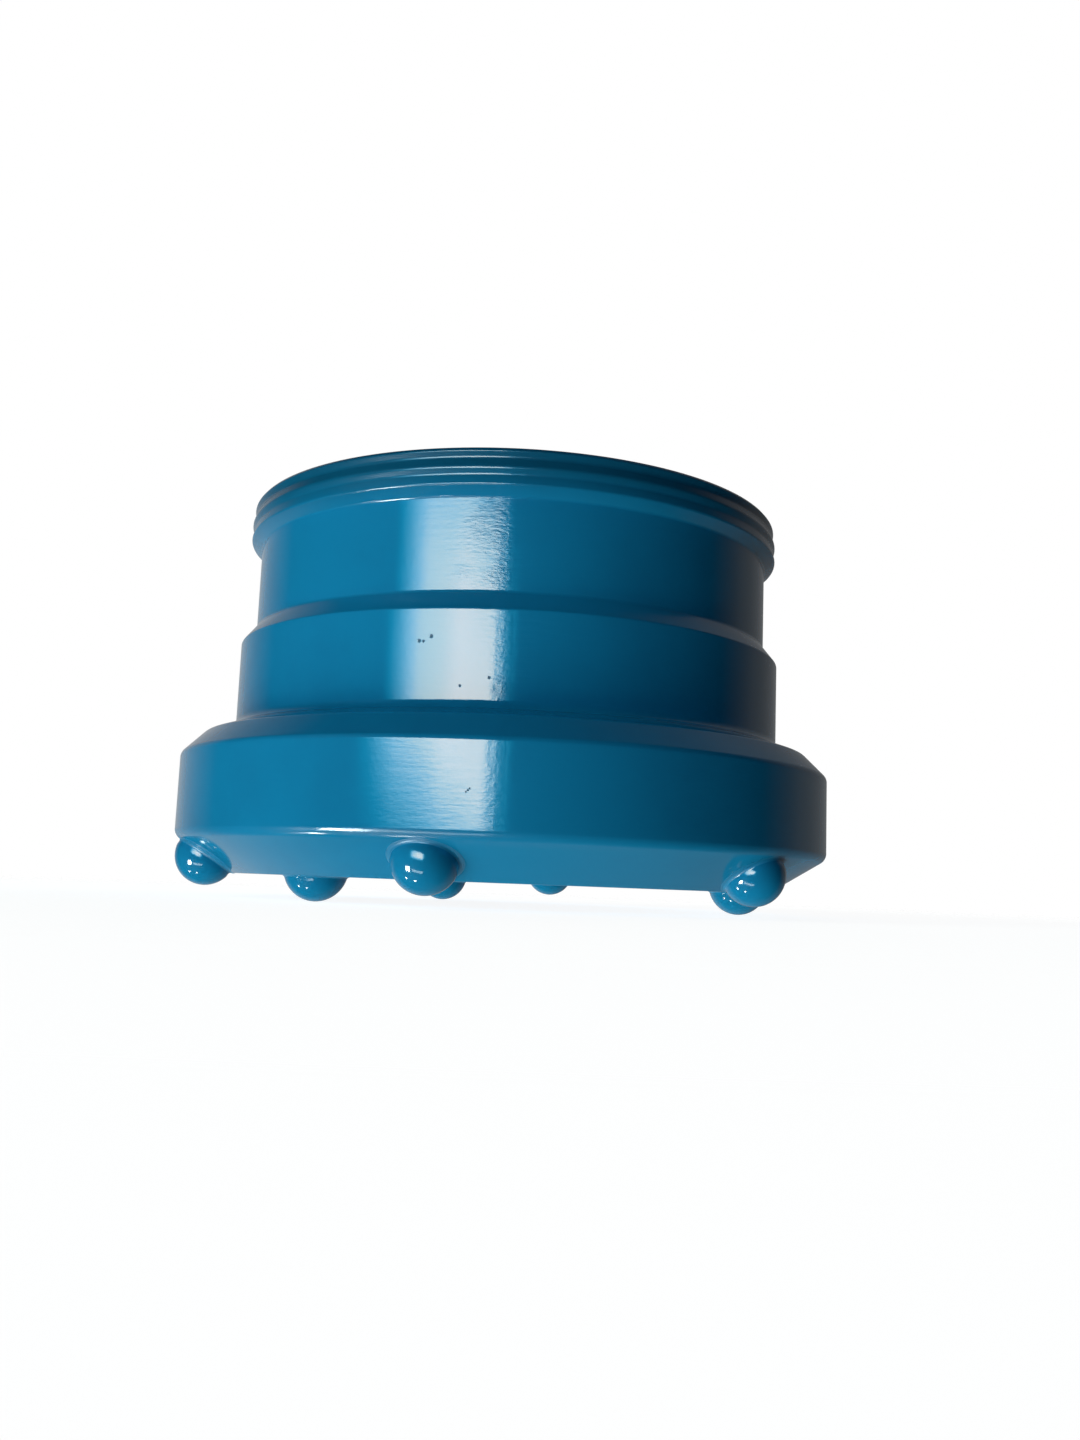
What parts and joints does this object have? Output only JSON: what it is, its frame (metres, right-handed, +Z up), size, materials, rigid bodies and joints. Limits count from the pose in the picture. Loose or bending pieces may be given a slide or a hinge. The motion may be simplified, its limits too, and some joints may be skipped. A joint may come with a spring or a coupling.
{
  "type": "casing ring bit",
  "caption": "Drill ring bit for the end of a casing: stepped steel ring with domed carbide buttons on the gauge chamfer and cutting face.",
  "frame": {"origin": "on the ring's axis, in the plane of the face buttons' tips, on which the ring stands", "axes": "+Z up the ring's axis from the cutting end to the rear end; the pictured side faces -Y"},
  "size_m": [0.188, 0.188, 0.1126],
  "materials": {
    "painted_steel": "gloss",
    "painted_carbide": "gloss"
  },
  "bodies": {
    "root": {"ring_body": "painted_steel", "gauge_button_01": "painted_carbide", "gauge_button_02": "painted_carbide", "gauge_button_03": "painted_carbide", "gauge_button_04": "painted_carbide", "gauge_button_05": "painted_carbide", "gauge_button_06": "painted_carbide", "face_button_01": "painted_carbide", "face_button_02": "painted_carbide", "face_button_03": "painted_carbide"}
  },
  "joints": []
}
